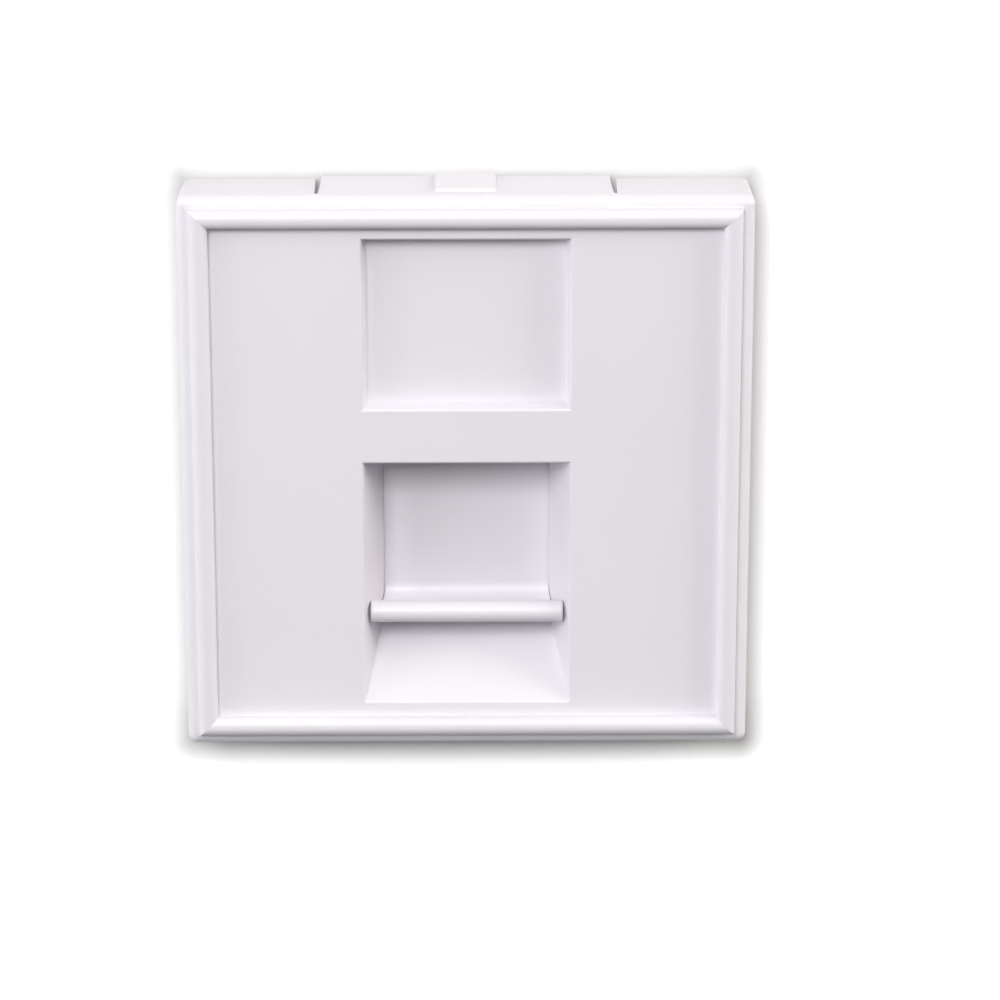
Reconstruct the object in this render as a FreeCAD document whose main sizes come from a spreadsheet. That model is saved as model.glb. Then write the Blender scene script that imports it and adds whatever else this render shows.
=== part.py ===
import FreeCAD, Part
import os
import Sketcher

# One-port outlet faceplate, 45 mm snap-in module with a spring-return dust shutter.
# X points right, Y points back, Z points up. The origin is the middle of the rear rim of the square
# front, the plane on which the module seats in its support.

os.makedirs("parts", exist_ok=True)
doc = FreeCAD.newDocument("faceplate")

# Driving dimensions in millimetres. A depth is measured back from the front face, a level is a Z,
# and a margin is measured inwards from the edge of the square front.
SIZES = {
    # Square front
    "module_size": 45.0,
    "front_depth": 7.0,
    "side_wall": 1.6,
    "panel_thickness": 2.0,
    "edge_round": 0.7,
    "corner_extra": 0.05,
    # Raised rim
    "bead_inset": 0.95,
    "bead_width": 1.5,
    "bead_height": 1.1,
    "bead_flat": 0.12,
    # Label recess and outlet recess
    "opening_width": 16.4,
    "opening_round": 0.2,
    "label_bottom": 5.4,
    "label_margin": 3.4,
    "label_depth": 1.4,
    "label_lean": 0.35,
    "label_floor": 1.2,
    "outlet_top": 1.0,
    "outlet_margin": 3.5,
    "throat_width": 13.4,
    "throat_bottom": -12.95,
    "funnel_wall": 1.2,
    # Clip tongues on the top and bottom walls
    "tongue_width": 23.3,
    "tongue_start": 1.2,
    "tongue_lift": 0.25,
    "slot_front": 0.25,
    "slot_back": 0.5,
    "lug_width": 4.7,
    "lug_start": 1.8,
    "lug_step": 0.3,
    "lug_height": 0.6,
    "lug_lead": 0.8,
    # Shutter
    "shutter_depth": 5.5,
    "shutter_thickness": 1.38,
    "shutter_width": 16.8,
    "shutter_overlap": 0.8,
    "bar_radius": 0.88,
    "bar_depth": 1.5,
    "bar_level": -11.73,
    "bar_width": 15.44,
    "bar_round": 0.2,
    "lip_rise": 0.08,
    "lip_thickness": 0.6,
    "lip_round": 1.4,
    # Clearances between moving and fixed faces
    "running_gap": 0.12,
    "side_gap": 0.25,
    "end_gap": 0.08,
    "spring_gap": 0.39,
    # Shutter guides and spring seat
    "rail_thickness": 1.2,
    "rail_extra": 0.8,
    "seat_gap": 0.8,
    "seat_thickness": 1.1,
    "spring_rib": 0.8,
    # Return spring
    "coil_radius": 1.45,
    "wire_radius": 0.16,
    "coil_turns": 7.0,
    "peg_radius": 0.95,
    "peg_height": 1.2,
    "boss_thickness": 1.0,
    "boss_half": 1.8,
    # Jack carrier
    "jack_level": -6.4,
    "jack_width": 14.9,
    "jack_height": 16.6,
    "catch_height": 19.3,
    "bay_height": 22.0,
    "carrier_wall": 1.5,
    "carrier_depth": 9.9,
    "carrier_width": 24.8,
    "carrier_round": 0.6,
    "window_width": 12.0,
    "window_margin": 2.0,
    "latch_width": 9.0,
    "latch_start": 2.5,
    # Snap hooks that hold the carrier
    "hook_low": -9.0,
    "hook_high": 13.0,
    "hook_width": 4.0,
    "hook_thickness": 1.2,
    "hook_reach": 0.6,
    "hook_nose": 1.2,
    "hook_lead": 0.8,
    "hook_gap": 0.05,
    "notch_gap": 0.3,
}

sheet = doc.addObject("Spreadsheet::Sheet", "Sizes")
for row, (alias, value) in enumerate(SIZES.items(), start=1):
    sheet.set(f"A{row}", alias)
    sheet.set(f"B{row}", str(value))
    sheet.setAlias(f"B{row}", alias)
doc.recompute()

# Widest error of a coordinate that is taken to lie on a plane
ON_PLANE = 1e-4

# Derived positions, written as expressions on the sheet. A plane is given by its distance in front
# of the rear rim.
HALF = "(Sizes.module_size / 2)"
FACE = "Sizes.front_depth"
PANEL_BACK = "(Sizes.front_depth - Sizes.panel_thickness)"
LABEL_TOP = f"({HALF} - Sizes.label_margin)"
OUTLET_BOTTOM = f"(Sizes.outlet_margin - {HALF})"
OPENING_HALF = "(Sizes.opening_width / 2)"
THROAT_HALF = "(Sizes.throat_width / 2)"
THROAT_DEPTH = "(Sizes.shutter_depth - Sizes.running_gap)"
THROAT_PLANE = f"({FACE} - {THROAT_DEPTH})"
SIDE_LEAN = f"(({OPENING_HALF} - {THROAT_HALF}) / {THROAT_DEPTH})"
SHUTTER_PLANE = f"({FACE} - Sizes.shutter_depth)"
CARRIER_PLANE = f"({SHUTTER_PLANE} - Sizes.shutter_thickness - Sizes.running_gap)"
CEILING = "(Sizes.outlet_top + Sizes.funnel_wall)"
BOSS_BOTTOM = f"({CEILING} + Sizes.running_gap)"
BOSS_TOP = f"({BOSS_BOTTOM} + Sizes.boss_thickness)"
PLATE_BOTTOM = "(Sizes.throat_bottom - Sizes.shutter_overlap)"
RAIL_INNER = "(Sizes.shutter_width / 2 + Sizes.side_gap)"
RAIL_OUTER = f"({RAIL_INNER} + Sizes.rail_thickness)"
RAIL_BOTTOM = f"({PLATE_BOTTOM} - Sizes.rail_extra)"
RAIL_TOP = f"({HALF} - Sizes.side_wall - Sizes.seat_gap)"
SEAT_LEVEL = f"({RAIL_TOP} - Sizes.seat_thickness)"
LABEL_BACK = f"({FACE} - Sizes.label_depth - Sizes.label_floor)"
SPRING_RADIUS = "(Sizes.coil_radius + Sizes.wire_radius)"
SPRING_Y = f"({SPRING_RADIUS} + Sizes.spring_gap - {LABEL_BACK})"
RIB_INNER = "(Sizes.boss_half + Sizes.side_gap)"
CARRIER_HALF = "(Sizes.carrier_width / 2)"
TUBE_HALF = "(Sizes.jack_width / 2 + Sizes.carrier_wall)"
TUBE_BOTTOM = "(Sizes.jack_level - Sizes.bay_height / 2 - Sizes.carrier_wall)"
TUBE_TOP = "(Sizes.jack_level + Sizes.bay_height / 2 + Sizes.carrier_wall)"
NOTCH_EDGE = f"({RAIL_OUTER} + Sizes.notch_gap)"
HOOK_INNER = f"({NOTCH_EDGE} + Sizes.notch_gap)"


def size(expression):
    """The number that an expression on the sheet stands for."""
    return float(sheet.evalExpression(expression))


def new_body(label):
    """A named solid of the document."""
    body = doc.addObject("PartDesign::Body", label)
    body.Label = label
    return body


def origin_item(body, role):
    """One of the body's own base planes or axes."""
    return next(item for item in body.Origin.OriginFeatures if item.Role == role)


def new_sketch(body, name, plane, offset):
    """An empty sketch on a base plane of the body, moved along the plane's normal."""
    sketch = body.newObject("Sketcher::SketchObject", name)
    sketch.AttachmentSupport = [(origin_item(body, plane), "")]
    sketch.MapMode = "FlatFace"
    sketch.setExpression("AttachmentOffset.Base.z", offset)
    return sketch


def hold(sketch, side, end, axis, expression):
    """Hold one coordinate of a point of a sketch to an expression."""
    kind = "DistanceX" if axis == "x" else "DistanceY"
    number = sketch.addConstraint(Sketcher.Constraint(kind, -1, 1, side, end, size(expression)))
    name = f"held_{number}"
    sketch.renameConstraint(number, name)
    sketch.setExpression(f"Constraints.{name}", expression)


def outline(sketch, points, arcs=None):
    """Draw a closed outline through the points. arcs gives the centre of each round side, and
    whether it turns left on the way to the next point."""
    arcs = arcs or {}
    places = [FreeCAD.Vector(size(x), size(y), 0) for x, y in points]
    first = sketch.GeometryCount
    ends = []
    for number, start in enumerate(places):
        stop = places[(number + 1) % len(places)]
        if number in arcs:
            centre_x, centre_y, left = arcs[number]
            centre = FreeCAD.Vector(size(centre_x), size(centre_y), 0)
            opening, closing = (start, stop) if left else (stop, start)
            circle = Part.Circle(centre, FreeCAD.Vector(0, 0, 1), (start - centre).Length)
            arc = Part.ArcOfCircle(circle, circle.parameter(opening), circle.parameter(closing))
            side = sketch.addGeometry(arc)
            ends.append((side, 1, 2) if left else (side, 2, 1))
        else:
            side = sketch.addGeometry(Part.LineSegment(start, stop))
            ends.append((side, 1, 2))
    for number, (side, start_end, stop_end) in enumerate(ends):
        following = ends[(number + 1) % len(ends)]
        sketch.addConstraint(Sketcher.Constraint("Coincident", side, stop_end, following[0], following[1]))
        hold(sketch, side, start_end, "x", points[number][0])
        hold(sketch, side, start_end, "y", points[number][1])
    for number, (centre_x, centre_y, left) in arcs.items():
        hold(sketch, first + number, 3, "x", centre_x)


def rectangle(sketch, left, right, bottom, top):
    """Draw a rectangle between two pairs of expressions."""
    outline(sketch, [(left, bottom), (right, bottom), (right, top), (left, top)])


def pair(sketch, inner, outer, bottom, top):
    """Draw the same rectangle on the right and on the left."""
    rectangle(sketch, inner, outer, bottom, top)
    rectangle(sketch, f"-{outer}", f"-{inner}", bottom, top)


def circle(sketch, x, y, radius):
    """Draw a circle held to expressions."""
    centre = FreeCAD.Vector(size(x), size(y), 0)
    side = sketch.addGeometry(Part.Circle(centre, FreeCAD.Vector(0, 0, 1), size(radius)))
    hold(sketch, side, 3, "x", x)
    hold(sketch, side, 3, "y", y)
    number = sketch.addConstraint(Sketcher.Constraint("Radius", side, size(radius)))
    sketch.renameConstraint(number, f"radius_{number}")
    sketch.setExpression(f"Constraints.radius_{number}", radius)


def extrude(kind, body, name, sketch, length, back=False, both=False):
    """Pad or pocket a sketch along its normal, against it (back), or both ways about the sketch."""
    feature = body.newObject(f"PartDesign::{kind}", name)
    feature.Profile = sketch
    feature.setExpression("Length", length)
    feature.Reversed = back
    feature.SideType = "Symmetric" if both else "One side"
    doc.recompute()
    return feature


def loft(kind, body, name, front, rear):
    """Join or cut the straight-sided body between two sketches."""
    feature = body.newObject(f"PartDesign::{kind}", name)
    feature.Profile = front
    feature.Sections = [rear]
    feature.Ruled = True
    doc.recompute()
    return feature


def round_edges(body, name, radius, test):
    """Round each edge of the body so far whose points all pass the test."""
    base = body.Tip
    chosen = []
    for number, edge in enumerate(base.Shape.Edges, start=1):
        if all(test(point) for point in edge.discretize(3)):
            chosen.append(f"Edge{number}")
    feature = body.newObject("PartDesign::Fillet", name)
    feature.Base = (base, chosen)
    feature.setExpression("Radius", radius)
    doc.recompute()
    return feature


def near(value, expression):
    """Whether a coordinate lies on an expression's value."""
    return abs(value - size(expression)) < ON_PLANE


def build_square_front(body):
    """Hollow square front with rounded corners and a raised rim around its face."""
    block = new_sketch(body, "block_outline", "XZ_Plane", "0")
    rectangle(block, f"-{HALF}", HALF, f"-{HALF}", HALF)
    extrude("Pad", body, "block", block, FACE)
    round_edges(body, "corners", "Sizes.edge_round + Sizes.corner_extra",
                lambda p: near(abs(p.x), HALF) and near(abs(p.z), HALF))
    round_edges(body, "face_edge", "Sizes.edge_round", lambda p: near(-p.y, FACE))

    cavity = new_sketch(body, "cavity_outline", "XZ_Plane", "0")
    inside = f"({HALF} - Sizes.side_wall)"
    rectangle(cavity, f"-{inside}", inside, f"-{inside}", inside)
    extrude("Pocket", body, "cavity", cavity, PANEL_BACK, back=True)

    bead = new_sketch(body, "bead_outline", "XZ_Plane", FACE)
    outer = f"({HALF} - Sizes.bead_inset)"
    inner = f"({HALF} - Sizes.bead_inset - Sizes.bead_width)"
    rectangle(bead, f"-{outer}", outer, f"-{outer}", outer)
    rectangle(bead, f"-{inner}", inner, f"-{inner}", inner)
    extrude("Pad", body, "bead", bead, "Sizes.bead_height")
    crest = f"({FACE} + Sizes.bead_height)"
    crest_round = "(Sizes.bead_width - Sizes.bead_flat) / 2"
    round_edges(body, "bead_crest", crest_round, lambda p: near(-p.y, crest))


def build_label_recess(body):
    """Shallow label recess with leaning walls and a thickened floor behind it."""
    margin = f"({OPENING_HALF} + Sizes.funnel_wall)"
    backing = new_sketch(body, "label_backing_outline", "XZ_Plane", LABEL_BACK)
    rectangle(backing, f"-{margin}", margin, "Sizes.label_bottom - Sizes.funnel_wall", RAIL_TOP)
    extrude("Pad", body, "label_backing", backing, f"{PANEL_BACK} - {LABEL_BACK}")

    front = new_sketch(body, "label_mouth", "XZ_Plane", FACE)
    rectangle(front, f"-{OPENING_HALF}", OPENING_HALF, "Sizes.label_bottom", LABEL_TOP)
    rear = new_sketch(body, "label_floor_outline", "XZ_Plane", f"{FACE} - Sizes.label_depth")
    floor_half = f"({OPENING_HALF} - Sizes.label_lean)"
    rectangle(rear, f"-{floor_half}", floor_half,
              "Sizes.label_bottom + Sizes.label_lean", f"{LABEL_TOP} - Sizes.label_lean")
    loft("SubtractiveLoft", body, "label_recess", front, rear)


def build_outlet(body):
    """Outlet recess: leaning side walls, flat ceiling and a floor that ramps up to the throat."""
    wall = "Sizes.funnel_wall"
    front = new_sketch(body, "funnel_root", "XZ_Plane", f"{FACE} - Sizes.panel_thickness / 2")
    rectangle(front, f"-({OPENING_HALF} + {wall})", f"{OPENING_HALF} + {wall}",
              f"{OUTLET_BOTTOM} - {wall}", CEILING)
    rear = new_sketch(body, "funnel_end", "XZ_Plane", THROAT_PLANE)
    rectangle(rear, f"-({THROAT_HALF} + {wall})", f"{THROAT_HALF} + {wall}",
              f"Sizes.throat_bottom - {wall}", CEILING)
    loft("AdditiveLoft", body, "funnel", front, rear)

    mouth = new_sketch(body, "outlet_mouth", "XZ_Plane", FACE)
    rectangle(mouth, f"-{OPENING_HALF}", OPENING_HALF, OUTLET_BOTTOM, "Sizes.outlet_top")
    throat = new_sketch(body, "outlet_throat", "XZ_Plane", THROAT_PLANE)
    rectangle(throat, f"-{THROAT_HALF}", THROAT_HALF, "Sizes.throat_bottom", "Sizes.outlet_top")
    loft("SubtractiveLoft", body, "outlet", mouth, throat)

    round_edges(body, "opening_edges", "Sizes.opening_round",
                lambda p: near(-p.y, FACE) and abs(p.x) < size(OPENING_HALF) + ON_PLANE
                and size(OUTLET_BOTTOM) - ON_PLANE < p.z < size(LABEL_TOP) + ON_PLANE)


def build_guides(body):
    """Rails for the shutter's edges, seat and ribs for the spring."""
    runner = new_sketch(body, "runner_outline", "XZ_Plane", THROAT_PLANE)
    pair(runner, THROAT_HALF, RAIL_OUTER, "Sizes.outlet_top", RAIL_TOP)
    extrude("Pad", body, "runners", runner, f"{PANEL_BACK} - {THROAT_PLANE}")

    rail = new_sketch(body, "rail_outline", "XZ_Plane", CARRIER_PLANE)
    pair(rail, RAIL_INNER, RAIL_OUTER, RAIL_BOTTOM, RAIL_TOP)
    extrude("Pad", body, "rails", rail, f"{PANEL_BACK} - {CARRIER_PLANE}")

    seat = new_sketch(body, "seat_outline", "XZ_Plane", CARRIER_PLANE)
    rectangle(seat, f"-{RAIL_OUTER}", RAIL_OUTER, SEAT_LEVEL, RAIL_TOP)
    extrude("Pad", body, "spring_seat", seat, f"{PANEL_BACK} - {CARRIER_PLANE}")

    rib = new_sketch(body, "spring_rib_outline", "XZ_Plane", THROAT_PLANE)
    pair(rib, RIB_INNER, f"({RIB_INNER} + Sizes.spring_rib)", "Sizes.outlet_top", RAIL_TOP)
    extrude("Pad", body, "spring_ribs", rib, f"{PANEL_BACK} - {THROAT_PLANE}")

    peg = new_sketch(body, "seat_peg_outline", "XY_Plane", SEAT_LEVEL)
    circle(peg, "0", SPRING_Y, "Sizes.peg_radius")
    extrude("Pad", body, "seat_peg", peg, "Sizes.peg_height", back=True)


def build_clip_tongues(body):
    """A springy tongue cut free at its sides, with a catching lug, on the top and bottom walls."""
    centre = "(Sizes.tongue_width / 2)"
    start = f"(Sizes.tongue_start - {FACE})"
    slots = new_sketch(body, "slot_outline", "XY_Plane", HALF)
    for sign in ("", "-"):
        outline(slots, [
            (f"{sign}({centre} - Sizes.slot_front / 2)", start),
            (f"{sign}({centre} + Sizes.slot_front / 2)", start),
            (f"{sign}({centre} + Sizes.slot_back / 2)", "0"),
            (f"{sign}({centre} - Sizes.slot_back / 2)", "0"),
        ])
    slot_cut = extrude("Pocket", body, "slots", slots, "Sizes.side_wall")

    root = f"({HALF} - Sizes.side_wall / 2)"
    lift = new_sketch(body, "tongue_outline", "YZ_Plane", "0")
    outline(lift, [
        (start, root),
        ("0", root),
        ("0", f"{HALF} + Sizes.tongue_lift"),
        (start, HALF),
    ])
    tongue = extrude("Pad", body, "tongue", lift, "Sizes.tongue_width - Sizes.slot_back", both=True)

    catch = f"(Sizes.lug_start - {FACE})"
    profile = new_sketch(body, "lug_outline", "YZ_Plane", "0")
    outline(profile, [
        (catch, root),
        ("0", root),
        ("0", f"{HALF} + Sizes.tongue_lift"),
        ("-Sizes.lug_lead", f"{HALF} + Sizes.lug_height"),
        (catch, f"{HALF} + Sizes.lug_step"),
    ])
    lug = extrude("Pad", body, "lug", profile, "Sizes.lug_width", both=True)

    mirror = body.newObject("PartDesign::Mirrored", "lower_tongue")
    mirror.Originals = [slot_cut, tongue, lug]
    mirror.MirrorPlane = (origin_item(body, "XY_Plane"), [""])
    body.Tip = mirror
    doc.recompute()


def build_hooks(body):
    """Four snap hooks that reach over the carrier's plate."""
    inner = HOOK_INNER
    outer = f"({HOOK_INNER} + Sizes.hook_thickness)"
    tip = f"({NOTCH_EDGE} - Sizes.hook_reach)"
    catch = f"(Sizes.carrier_wall + Sizes.hook_gap - {CARRIER_PLANE})"
    top = f"({catch} + Sizes.hook_nose)"
    for name, level in (("low_hooks", "Sizes.hook_low"), ("high_hooks", "Sizes.hook_high")):
        sketch = new_sketch(body, f"{name}_outline", "XY_Plane", level)
        for sign in ("", "-"):
            outline(sketch, [
                (f"{sign}{outer}", f"-{PANEL_BACK}"),
                (f"{sign}{outer}", top),
                (f"{sign}{inner}", top),
                (f"{sign}{tip}", f"({top} - Sizes.hook_lead)"),
                (f"{sign}{tip}", catch),
                (f"{sign}{inner}", catch),
                (f"{sign}{inner}", f"-{PANEL_BACK}"),
            ])
        extrude("Pad", body, name, sketch, "Sizes.hook_width", both=True)


def build_front_frame():
    """The one-piece front moulding."""
    body = new_body("front_frame")
    build_square_front(body)
    build_label_recess(body)
    build_outlet(body)
    build_guides(body)
    build_clip_tongues(body)
    build_hooks(body)
    return body


def build_shutter():
    """Door plate with a forward lip that ends in a round push bar, and a peg for the spring."""
    body = new_body("shutter")
    door = f"(-{SHUTTER_PLANE})"
    bar = f"(Sizes.bar_depth - {FACE})"
    rod = new_sketch(body, "bar_outline", "YZ_Plane", "0")
    circle(rod, bar, "Sizes.bar_level", "Sizes.bar_radius")
    extrude("Pad", body, "bar", rod, "Sizes.bar_width", both=True)
    round_edges(body, "bar_ends", "Sizes.bar_round", lambda p: near(abs(p.x), "Sizes.bar_width / 2"))

    lip_bottom = "(Sizes.bar_level - Sizes.bar_radius + Sizes.lip_rise)"
    lip_top = f"({lip_bottom} + Sizes.lip_thickness)"
    lip = new_sketch(body, "lip_outline", "YZ_Plane", "0")
    outline(lip, [
        (door, lip_bottom),
        (door, f"{lip_top} + Sizes.lip_round"),
        (f"{door} - Sizes.lip_round", lip_top),
        (bar, lip_top),
        (bar, lip_bottom),
    ], arcs={1: (f"{door} - Sizes.lip_round", f"{lip_top} + Sizes.lip_round", False)})
    extrude("Pad", body, "lip", lip, "Sizes.bar_width", both=True)
    plate = new_sketch(body, "plate_outline", "XZ_Plane", f"{SHUTTER_PLANE} - Sizes.shutter_thickness")
    rectangle(plate, "-Sizes.shutter_width / 2", "Sizes.shutter_width / 2", PLATE_BOTTOM, BOSS_TOP)
    extrude("Pad", body, "plate", plate, "Sizes.shutter_thickness")

    front_edge = f"({OPENING_HALF} - Sizes.end_gap)"
    door_edge = f"({front_edge} - {SIDE_LEAN} * Sizes.shutter_depth)"
    sides = new_sketch(body, "side_cut_outline", "XY_Plane", f"{lip_top} + Sizes.lip_round")
    for sign in ("", "-"):
        outline(sides, [
            (f"{sign}{front_edge}", f"-{FACE}"),
            (f"{sign}Sizes.opening_width", f"-{FACE}"),
            (f"{sign}Sizes.opening_width", door),
            (f"{sign}{door_edge}", door),
        ])
    extrude("Pocket", body, "side_cuts", sides, "2 * Sizes.bar_radius + Sizes.lip_round")

    boss = new_sketch(body, "boss_outline", "XY_Plane", BOSS_BOTTOM)
    rectangle(boss, "-Sizes.boss_half", "Sizes.boss_half",
              f"{SPRING_Y} - {SPRING_RADIUS}", door)
    extrude("Pad", body, "boss", boss, "Sizes.boss_thickness")
    peg = new_sketch(body, "peg_outline", "XY_Plane", BOSS_TOP)
    circle(peg, "0", SPRING_Y, "Sizes.peg_radius")
    extrude("Pad", body, "peg", peg, "Sizes.peg_height")
    return body


def build_return_spring():
    """Coil that presses on the shutter's boss from the seat above it."""
    body = new_body("return_spring")
    wire = new_sketch(body, "wire_outline", "XZ_Plane", "0")
    circle(wire, "Sizes.coil_radius", "Sizes.wire_radius", "Sizes.wire_radius")
    coil = body.newObject("PartDesign::AdditiveHelix", "coil")
    coil.Profile = wire
    coil.ReferenceAxis = (origin_item(body, "Z_Axis"), [""])
    coil.Mode = "height-turns-angle"
    coil.setExpression("Height", f"{SEAT_LEVEL} - {BOSS_TOP} - 2 * Sizes.wire_radius")
    coil.setExpression("Turns", "Sizes.coil_turns")
    body.setExpression("Placement.Base.y", SPRING_Y)
    body.setExpression("Placement.Base.z", BOSS_TOP)
    doc.recompute()
    return body


def build_jack_carrier():
    """Plate that closes the guides from behind, and the bay that a snap-in jack clips into."""
    body = new_body("jack_carrier")
    plate_back = f"({CARRIER_PLANE} - Sizes.carrier_wall)"
    catch_front = f"({CARRIER_PLANE} - Sizes.carrier_depth + Sizes.carrier_wall)"
    plate = new_sketch(body, "plate_outline", "XZ_Plane", plate_back)
    rectangle(plate, f"-{CARRIER_HALF}", CARRIER_HALF, TUBE_BOTTOM, RAIL_TOP)
    extrude("Pad", body, "plate", plate, "Sizes.carrier_wall")

    tube = new_sketch(body, "tube_outline", "XZ_Plane", f"{CARRIER_PLANE} - Sizes.carrier_depth")
    rectangle(tube, f"-{TUBE_HALF}", TUBE_HALF, TUBE_BOTTOM, TUBE_TOP)
    extrude("Pad", body, "tube", tube, "Sizes.carrier_depth")
    round_edges(body, "tube_corners", "Sizes.carrier_round",
                lambda p: near(abs(p.x), TUBE_HALF) and (near(p.z, TUBE_TOP) or near(p.z, TUBE_BOTTOM)))
    round_edges(body, "plate_corners", "Sizes.carrier_round",
                lambda p: near(abs(p.x), CARRIER_HALF) and (near(p.z, RAIL_TOP) or near(p.z, TUBE_BOTTOM)))

    jack_half = "(Sizes.jack_width / 2)"
    nose = new_sketch(body, "nose_outline", "XZ_Plane", CARRIER_PLANE)
    rectangle(nose, f"-{jack_half}", jack_half, "Sizes.jack_level - Sizes.jack_height / 2",
              "Sizes.jack_level + Sizes.jack_height / 2")
    extrude("Pocket", body, "nose_opening", nose, "Sizes.carrier_wall")

    bay = new_sketch(body, "bay_outline", "XZ_Plane", plate_back)
    rectangle(bay, f"-{jack_half}", jack_half, "Sizes.jack_level - Sizes.bay_height / 2",
              "Sizes.jack_level + Sizes.bay_height / 2")
    extrude("Pocket", body, "bay", bay, f"{plate_back} - {catch_front}")

    catch = new_sketch(body, "catch_outline", "XZ_Plane", catch_front)
    rectangle(catch, f"-{jack_half}", jack_half, "Sizes.jack_level - Sizes.catch_height / 2",
              "Sizes.jack_level + Sizes.catch_height / 2")
    extrude("Pocket", body, "catch_opening", catch, "Sizes.carrier_wall")

    latch = new_sketch(body, "latch_outline", "XY_Plane", TUBE_TOP)
    rectangle(latch, "-Sizes.latch_width / 2", "Sizes.latch_width / 2",
              f"Sizes.latch_start - {CARRIER_PLANE}", f"-{catch_front}")
    extrude("Pocket", body, "latch_window", latch, "Sizes.carrier_wall")

    window = new_sketch(body, "window_outline", "XZ_Plane", CARRIER_PLANE)
    rectangle(window, "-Sizes.window_width / 2", "Sizes.window_width / 2",
              f"{TUBE_TOP} + Sizes.carrier_wall", f"{SEAT_LEVEL} - Sizes.window_margin")
    extrude("Pocket", body, "window", window, "Sizes.carrier_wall")

    notch = new_sketch(body, "notch_outline", "XZ_Plane", CARRIER_PLANE)
    reach = "(Sizes.hook_width / 2 + Sizes.notch_gap)"
    for level in ("Sizes.hook_low", "Sizes.hook_high"):
        pair(notch, NOTCH_EDGE, f"({CARRIER_HALF} + Sizes.carrier_wall)",
             f"{level} - {reach}", f"{level} + {reach}")
    extrude("Pocket", body, "notches", notch, "Sizes.carrier_wall")
    return body


bodies = [build_front_frame(), build_shutter(), build_return_spring(), build_jack_carrier()]
doc.recompute()

for item in doc.Objects:
    if "Invalid" in item.State or "Error" in item.State:
        raise RuntimeError(f"{item.Label} did not build: {item.State}")
for body in bodies:
    shape = body.Shape
    if shape.isNull() or not shape.isValid() or len(shape.Solids) != 1:
        raise RuntimeError(f"{body.Label} is not one valid solid")
    shape.exportStep(f"parts/{body.Label}.step")
    print(body.Label, round(shape.Volume, 3), shape.BoundBox)
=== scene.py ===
import math

import bpy
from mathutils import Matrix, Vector


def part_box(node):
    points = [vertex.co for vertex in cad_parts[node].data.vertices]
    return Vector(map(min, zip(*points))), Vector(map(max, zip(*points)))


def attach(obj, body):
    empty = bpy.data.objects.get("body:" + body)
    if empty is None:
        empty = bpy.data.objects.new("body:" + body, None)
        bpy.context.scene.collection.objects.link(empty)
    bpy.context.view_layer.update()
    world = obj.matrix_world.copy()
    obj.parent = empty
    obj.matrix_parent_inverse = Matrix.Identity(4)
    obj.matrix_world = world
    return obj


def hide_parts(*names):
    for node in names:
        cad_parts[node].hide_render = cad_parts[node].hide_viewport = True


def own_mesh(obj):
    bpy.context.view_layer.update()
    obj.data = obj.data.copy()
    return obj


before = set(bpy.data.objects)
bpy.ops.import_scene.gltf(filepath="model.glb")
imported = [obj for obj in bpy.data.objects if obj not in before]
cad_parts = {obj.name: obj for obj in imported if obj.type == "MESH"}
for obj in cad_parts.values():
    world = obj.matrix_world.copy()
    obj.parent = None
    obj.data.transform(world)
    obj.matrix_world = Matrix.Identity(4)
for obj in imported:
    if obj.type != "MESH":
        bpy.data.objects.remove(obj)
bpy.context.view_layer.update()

# Outlet faceplate with a spring-return dust shutter. Lengths are in metres, in the frame of the solids.
MM = 0.001

# The middle of the flat face, and half the width of the square rim
FACE_CENTRE = Vector((0, -7 * MM, 0))
RIM_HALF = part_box("front_frame")[1].x

# Camera: degrees over the face, distance, focal length in millimetres, and how far its aim lies to the
# right of the middle of the face and below it
VIEW_ELEVATION = 16.0
VIEW_DISTANCE = 293 * MM
FOCAL_LENGTH = 133.3
AIM_RIGHT = 2.65 * MM
AIM_DOWN = 2.0 * MM
NEAREST_SEEN = 10 * MM

# Soft lamps, all at one distance from the face: degrees to the right of the front, degrees up, width,
# power and colour
LAMP_DISTANCE = 900 * MM
NEUTRAL = (1.0, 1.0, 1.0)
WARM = (1.0, 0.965, 0.91)
LAMPS = {
    "key": (-14, 28, 350 * MM, 5.2, NEUTRAL),
    "top_box": (0, 78, 400 * MM, 0.4, NEUTRAL),
    "left_box": (-55, 15, 500 * MM, 2.4, NEUTRAL),
    "right_box": (55, 36, 500 * MM, 2.4, WARM),
    "left_edge": (-80, 8, 500 * MM, 3.0, NEUTRAL),
    "right_edge": (80, 18, 500 * MM, 5.6, WARM),
    "rear_right": (154, 22, 400 * MM, 5.0, NEUTRAL),
    "rear_left": (-140, 10, 400 * MM, 2.5, NEUTRAL),
}

# Light of the studio around the part, from below and from above. It changes between two heights of the
# direction that it comes from, where -1 is straight below and 1 is straight above.
AMBIENT_LOW = 0.02
AMBIENT_HIGH = 0.03
AMBIENT_START = -0.5
AMBIENT_STOP = 0.5
WHITE = (1, 1, 1, 1)

# Backdrop: a sheet of paper just behind the rim, which it laps, open where the part goes through it. Its
# white glow is left out next to the part and grows over a short way out, a painted shade round the part,
# so that the shadow stays close. From above, the front hides the paper for some way below the rim, so the
# painted shade reaches further there. The rim edge is the width over which the paper stops letting light
# through to the rim.
PAPER_GREY = 0.58
PAPER_GLOW = 0.64
PAPER_GAP = 0.3 * MM
PAPER_LAP = 2.0 * MM
PAPER_REACH = 700 * MM
HIDDEN_BELOW = 2.2 * MM
PAINTED_SHADE_REACH = 2.2 * MM
RIM_EDGE = 0.05 * MM

# The span that smooth noise mostly keeps to, and how strong its finer layers are
NOISE_LOW = 0.3
NOISE_HIGH = 0.7
LAYER_STRENGTH = 0.5

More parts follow.
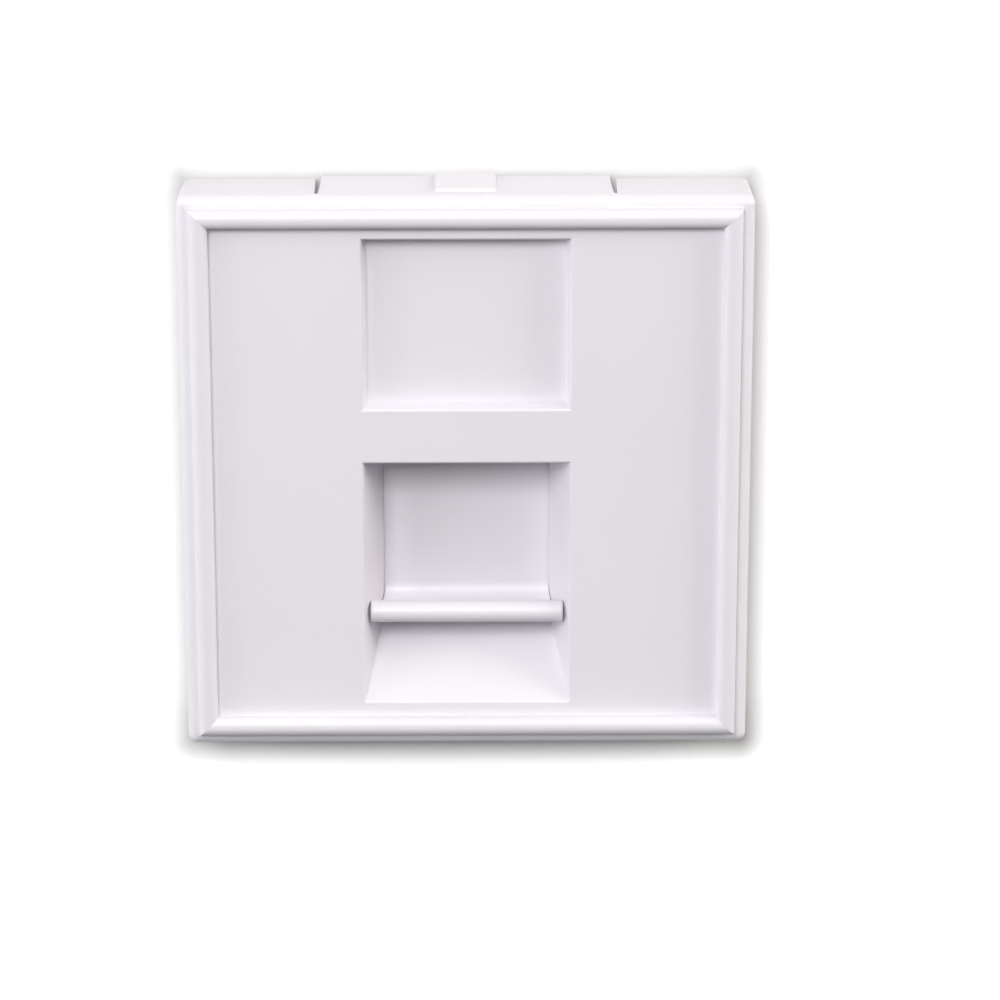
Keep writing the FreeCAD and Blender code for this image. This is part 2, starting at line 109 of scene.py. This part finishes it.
# Moulded plastic: the colours and roughness of each moulding, and then the flow clouds, soft patches and
# fine grain that they share, with their patches to a metre, layers of noise and relief
FRONT_PALE = (0.74, 0.718, 0.765)
FRONT_DEEP = (0.73, 0.708, 0.755)
FRONT_ROUGHNESS = 0.42
SHUTTER_ROUGHNESS = 0.36
CARRIER_PALE = (0.72, 0.70, 0.74)
CARRIER_DEEP = (0.70, 0.68, 0.72)
CARRIER_ROUGHNESS = 0.46
UNEVEN_ROUGHNESS = 0.04
PLASTIC_IOR = 1.5
CLOUD_SCALE = 90
CLOUD_LAYERS = 3
PATCH_SCALE = 650
PATCH_LAYERS = 2
PATCH_RELIEF = 0.12
PATCH_HEIGHT = 0.04 * MM
GRAIN_SCALE = 9000
GRAIN_LAYERS = 3
GRAIN_LAYER_STRENGTH = 0.6
GRAIN_RELIEF = 0.14
GRAIN_HEIGHT = 0.015 * MM

# Return spring: the form of its coil, and the colours, gloss and drawn streaks of its steel wire
WIRE_RADIUS = 0.16 * MM
COIL_TURNS = 7
CLOSED_TURNS = 1.0
STEPS_PER_TURN = 40
WIRE_SIDES = 12
WIRE_PALE = (0.62, 0.61, 0.59)
WIRE_DEEP = (0.44, 0.43, 0.42)
WIRE_SMOOTHEST = 0.24
WIRE_ROUGHEST = 0.38
STREAKS_PER_TURN = 3
STREAKS_AROUND = 40
STREAK_LAYERS = 4
STREAK_RELIEF = 0.2
STREAK_HEIGHT = 0.006 * MM


def add_node(tree, kind, settings=None, **inputs):
    """A shader node with its settings, its plain inputs and its links from other nodes' outputs."""
    node = tree.nodes.new(kind)
    for name, value in (settings or {}).items():
        setattr(node, name, value)
    for name, value in inputs.items():
        socket = node.inputs[name.replace("_", " ")]
        if isinstance(value, bpy.types.NodeSocket):
            tree.links.new(value, socket)
        else:
            socket.default_value = value
    return node


def join_shaders(tree, kind, first, second, **inputs):
    """The shader that a node of this kind makes of two others."""
    node = add_node(tree, kind, **inputs)
    free = [socket for socket in node.inputs if socket.type == "SHADER"]
    tree.links.new(first, free[0])
    tree.links.new(second, free[1])
    return node.outputs["Shader"]


def new_material(name):
    """An empty node material and the socket that its surface goes to."""
    material = bpy.data.materials.new(name)
    material.use_nodes = True
    tree = material.node_tree
    tree.nodes.clear()
    output = add_node(tree, "ShaderNodeOutputMaterial")
    return material, tree, output.inputs["Surface"]


def noise(tree, place, scale, layers, strength=LAYER_STRENGTH):
    """Smooth noise, with its scale in patches to each unit of the place."""
    node = add_node(tree, "ShaderNodeTexNoise", Vector=place, Scale=scale, Detail=layers, Roughness=strength)
    return node.outputs["Fac"]


def spread(tree, value, low, high, start=NOISE_LOW, stop=NOISE_HIGH):
    """A value stretched from the span start to stop, by default that of noise, to a new range."""
    node = add_node(tree, "ShaderNodeMapRange", Value=value,
                    From_Min=start, From_Max=stop, To_Min=low, To_Max=high)
    return node.outputs["Result"]


def combine(tree, operation, first, second):
    """The result of an operation on two outputs."""
    node = add_node(tree, "ShaderNodeMath", {"operation": operation})
    tree.links.new(first, node.inputs[0])
    tree.links.new(second, node.inputs[1])
    return node.outputs["Value"]


def blend_colours(tree, amount, first, second):
    """Colour that changes from the first to the second with the amount."""
    node = add_node(tree, "ShaderNodeMix", {"data_type": "RGBA"})
    tree.links.new(amount, node.inputs["Factor"])
    ends = {"A": first, "B": second}
    for socket in node.inputs:
        if socket.type == "RGBA":
            socket.default_value = (*ends[socket.name], 1)
    return next(socket for socket in node.outputs if socket.type == "RGBA")


def moulded_plastic(name, pale, deep, roughness):
    """Satin moulded plastic: faint flow clouds, a fine eroded texture and softly uneven gloss."""
    material, tree, surface = new_material(name)
    place = add_node(tree, "ShaderNodeTexCoord").outputs["Object"]
    clouds = noise(tree, place, CLOUD_SCALE, CLOUD_LAYERS)
    patches = noise(tree, place, PATCH_SCALE, PATCH_LAYERS)
    grain = noise(tree, place, GRAIN_SCALE, GRAIN_LAYERS, GRAIN_LAYER_STRENGTH)
    ripple = add_node(tree, "ShaderNodeBump", Strength=PATCH_RELIEF, Distance=PATCH_HEIGHT, Height=patches)
    texture = add_node(tree, "ShaderNodeBump", Strength=GRAIN_RELIEF, Distance=GRAIN_HEIGHT, Height=grain,
                       Normal=ripple.outputs["Normal"])
    shader = add_node(
        tree, "ShaderNodeBsdfPrincipled",
        Base_Color=blend_colours(tree, spread(tree, clouds, 0, 1), pale, deep),
        Roughness=spread(tree, patches, roughness - UNEVEN_ROUGHNESS, roughness + UNEVEN_ROUGHNESS),
        Normal=texture.outputs["Normal"],
        IOR=PLASTIC_IOR)
    tree.links.new(shader.outputs["BSDF"], surface)
    return material


def spring_wire():
    """Drawn spring steel, with fine streaks along the wire."""
    material, tree, surface = new_material("spring_wire")
    place = add_node(tree, "ShaderNodeTexCoord").outputs["UV"]
    stretched = add_node(tree, "ShaderNodeMapping", Vector=place, Scale=(STREAKS_PER_TURN, STREAKS_AROUND, 1))
    streaks = noise(tree, stretched.outputs["Vector"], 1, STREAK_LAYERS)
    relief = add_node(tree, "ShaderNodeBump", Strength=STREAK_RELIEF, Distance=STREAK_HEIGHT, Height=streaks)
    shader = add_node(
        tree, "ShaderNodeBsdfPrincipled",
        Base_Color=blend_colours(tree, spread(tree, streaks, 0, 1), WIRE_PALE, WIRE_DEEP),
        Metallic=1.0,
        Roughness=spread(tree, streaks, WIRE_SMOOTHEST, WIRE_ROUGHEST),
        Normal=relief.outputs["Normal"])
    tree.links.new(shader.outputs["BSDF"], surface)
    return material


def coil_height(turn, turns, rise):
    """Height reached at a turn of the coil, whose end turns lie almost flat."""
    flat = 2 * WIRE_RADIUS
    closed_rise = CLOSED_TURNS * flat
    if turn < CLOSED_TURNS:
        return turn * flat
    if turn > turns - CLOSED_TURNS:
        return rise - (turns - turn) * flat
    return closed_rise + (turn - CLOSED_TURNS) / (turns - 2 * CLOSED_TURNS) * (rise - 2 * closed_rise)


def wire_rings(low, high, turns):
    """Rings of points round the wire of a coil that fills the box from low to high, one after another."""
    middle = (low + high) / 2
    radius = (high.x - low.x) / 2 - WIRE_RADIUS
    rise = high.z - low.z - 2 * WIRE_RADIUS
    points = []
    for step in range(round(turns * STEPS_PER_TURN) + 1):
        turn = step / STEPS_PER_TURN
        angle = 2 * math.pi * turn
        outward = Vector((math.cos(angle), math.sin(angle), 0))
        centre = Vector((middle.x, middle.y, low.z + WIRE_RADIUS + coil_height(turn, turns, rise)))
        for side in range(WIRE_SIDES):
            around = 2 * math.pi * side / WIRE_SIDES
            offset = outward * math.cos(around) + Vector((0, 0, math.sin(around)))
            points.append(centre + outward * radius + offset * WIRE_RADIUS)
    return points


def wire_faces(rings):
    """Faces between the rings, and one face over each end of the wire."""
    faces = []
    for step in range(rings - 1):
        here = step * WIRE_SIDES
        there = here + WIRE_SIDES
        for side in range(WIRE_SIDES):
            beside = (side + 1) % WIRE_SIDES
            faces.append((here + side, there + side, there + beside, here + beside))
    last = (rings - 1) * WIRE_SIDES
    faces.append(tuple(range(WIRE_SIDES)))
    faces.append(tuple(last + side for side in reversed(range(WIRE_SIDES))))
    return faces


def lay_wire_map(mesh):
    """Surface map of the wire: turns along it, and the way round it."""
    layer = mesh.uv_layers.new(name="wire")
    for loop in mesh.loops:
        step, side = divmod(loop.vertex_index, WIRE_SIDES)
        layer.data[loop.index].uv = (step / STEPS_PER_TURN, side / WIRE_SIDES)


def new_mesh_object(name, points, faces, material):
    """A mesh object of one material, in the scene."""
    mesh = bpy.data.meshes.new(name)
    mesh.from_pydata(points, [], faces)
    mesh.update()
    mesh.materials.append(material)
    item = bpy.data.objects.new(name, mesh)
    bpy.context.scene.collection.objects.link(item)
    return item


def build_spring(low, high, material):
    """Round-wire coil that fills the box from low to high, with closed end turns."""
    points = wire_rings(low, high, COIL_TURNS + 2 * CLOSED_TURNS)
    coil = new_mesh_object("coil_spring", points, wire_faces(len(points) // WIRE_SIDES), material)
    lay_wire_map(coil.data)
    for face in coil.data.polygons:
        face.use_smooth = len(face.vertices) < WIRE_SIDES
    return coil


def from_face(right, up, distance):
    """Place at a distance from the face, some degrees to the right of its front and some degrees up."""
    right = math.radians(right)
    up = math.radians(up)
    direction = Vector((math.sin(right) * math.cos(up), -math.cos(right) * math.cos(up), math.sin(up)))
    return FACE_CENTRE + distance * direction


def turn_to(item, place):
    """Turn a lamp or a camera to face a place."""
    item.rotation_euler = (place - item.location).to_track_quat("-Z", "Y").to_euler()


def add_camera():
    """Camera at the photo's viewing angle, with the part left of the middle of the picture."""
    data = bpy.data.cameras.new("camera")
    data.lens = FOCAL_LENGTH
    data.clip_start = NEAREST_SEEN
    camera = bpy.data.objects.new("camera", data)
    camera.location = from_face(0, VIEW_ELEVATION, VIEW_DISTANCE)
    turn_to(camera, FACE_CENTRE + Vector((AIM_RIGHT, 0, -AIM_DOWN)))
    bpy.context.scene.collection.objects.link(camera)
    bpy.context.scene.camera = camera


def add_lamp(name, right, up, width, power, colour):
    """Square soft lamp that faces the middle of the face."""
    data = bpy.data.lights.new(name, "AREA")
    data.shape = "SQUARE"
    data.size = width
    data.energy = power
    data.color = colour
    lamp = bpy.data.objects.new(name, data)
    lamp.location = from_face(right, up, LAMP_DISTANCE)
    turn_to(lamp, FACE_CENTRE)
    bpy.context.scene.collection.objects.link(lamp)


def seen_directly(tree):
    """One for what the camera sees, also in a mirror or through glass, and nought for other light."""
    path = add_node(tree, "ShaderNodeLightPath").outputs
    opaque = combine(tree, "MAXIMUM", path["Is Camera Ray"], path["Is Glossy Ray"])
    return combine(tree, "MAXIMUM", opaque, path["Is Transmission Ray"])


def light_world():
    """Soft light that grows from below to above, in front of a white background."""
    world = bpy.data.worlds.new("studio")
    world.use_nodes = True
    tree = world.node_tree
    tree.nodes.clear()
    direction = add_node(tree, "ShaderNodeTexCoord").outputs["Generated"]
    height = add_node(tree, "ShaderNodeSeparateXYZ", Vector=direction).outputs["Z"]
    strength = spread(tree, height, AMBIENT_LOW, AMBIENT_HIGH, AMBIENT_START, AMBIENT_STOP)
    soft = add_node(tree, "ShaderNodeBackground", Color=WHITE, Strength=strength).outputs["Background"]
    white = add_node(tree, "ShaderNodeBackground", Color=WHITE, Strength=1.0).outputs["Background"]
    light = join_shaders(tree, "ShaderNodeMixShader", soft, white, Fac=seen_directly(tree))
    add_node(tree, "ShaderNodeOutputWorld", Surface=light)
    bpy.context.scene.world = world


def past(tree, value, edge, way):
    """How far a value lies past an edge, up to a metre, upwards if the way is 1 and downwards if it is -1."""
    return spread(tree, value, 0, 1, edge, edge + way)


def way_out(tree):
    """How far a place on the paper lies outside the square that the part and its shade below it fill."""
    place = add_node(tree, "ShaderNodeTexCoord").outputs["Object"]
    axes = add_node(tree, "ShaderNodeSeparateXYZ", Vector=place).outputs
    right = past(tree, axes["X"], RIM_HALF, 1)
    left = past(tree, axes["X"], -RIM_HALF, -1)
    above = past(tree, axes["Z"], RIM_HALF, 1)
    below = past(tree, axes["Z"], -RIM_HALF - HIDDEN_BELOW, -1)
    sideways = combine(tree, "MAXIMUM", right, left)
    upright = combine(tree, "MAXIMUM", above, below)
    both = add_node(tree, "ShaderNodeCombineXYZ", X=sideways, Z=upright).outputs["Vector"]
    return add_node(tree, "ShaderNodeVectorMath", {"operation": "LENGTH"}, Vector=both).outputs["Value"]


def backdrop_paper():
    """White paper that keeps the part's shadow, with a painted shade round the part where its white glow
    fades out. It is clear from behind, and behind the rim it lets the light of the rear lamps through to the
    rim."""
    material, tree, surface = new_material("backdrop_paper")
    out = way_out(tree)
    # Painted shade: the white glow is nought at the part and grows to full over the painted shade reach,
    # further below the rim
    glow_past_painted_shade = spread(tree, out, 0, PAPER_GLOW, 0, PAINTED_SHADE_REACH)
    strength = combine(tree, "MULTIPLY", glow_past_painted_shade, seen_directly(tree))
    white = add_node(tree, "ShaderNodeEmission", Color=WHITE, Strength=strength).outputs["Emission"]
    grey = (PAPER_GREY, PAPER_GREY, PAPER_GREY, 1)
    paper = add_node(tree, "ShaderNodeBsdfDiffuse", Color=grey).outputs["BSDF"]
    front = join_shaders(tree, "ShaderNodeAddShader", paper, white)
    behind = add_node(tree, "ShaderNodeNewGeometry").outputs["Backfacing"]
    at_rim = spread(tree, out, 1, 0, 0, RIM_EDGE)
    shadow_ray = add_node(tree, "ShaderNodeLightPath").outputs["Is Shadow Ray"]
    lit_through = combine(tree, "MULTIPLY", at_rim, shadow_ray)
    clearness = combine(tree, "MAXIMUM", behind, lit_through)
    clear = add_node(tree, "ShaderNodeBsdfTransparent").outputs["BSDF"]
    sheet = join_shaders(tree, "ShaderNodeMixShader", front, clear, Fac=clearness)
    tree.links.new(sheet, surface)
    return material


def build_backdrop(material):
    """Flat sheet of paper around the part's rim: a square of three by three fields, open in the middle."""
    opening = RIM_HALF - PAPER_LAP
    lines = (-PAPER_REACH, -opening, opening, PAPER_REACH)
    points = [(x, PAPER_GAP, z) for z in lines for x in lines]
    faces = []
    for row in range(len(lines) - 1):
        for column in range(len(lines) - 1):
            here = row * len(lines) + column
            above = here + len(lines)
            if (row, column) != (1, 1):
                faces.append((here, here + 1, above + 1, above))
    new_mesh_object("backdrop", points, faces, material)


# Finishes of the solids
FINISHES = {
    "front_frame": moulded_plastic("front_moulding", FRONT_PALE, FRONT_DEEP, FRONT_ROUGHNESS),
    "shutter": moulded_plastic("shutter_moulding", FRONT_PALE, FRONT_DEEP, SHUTTER_ROUGHNESS),
    "jack_carrier": moulded_plastic("carrier_moulding", CARRIER_PALE, CARRIER_DEEP, CARRIER_ROUGHNESS),
}
for node, finish in FINISHES.items():
    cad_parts[node].material_slots[0].material = finish

# The coil takes the place of the plain spring solid and hangs from an empty named for the housing
spring_low, spring_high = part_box("return_spring")
spring = build_spring(spring_low, spring_high, spring_wire())
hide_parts("return_spring")
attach(spring, "housing")
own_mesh(spring)

add_camera()
light_world()
for lamp, settings in LAMPS.items():
    add_lamp(lamp, *settings)
build_backdrop(backdrop_paper())
bpy.context.scene.view_settings.view_transform = "Standard"
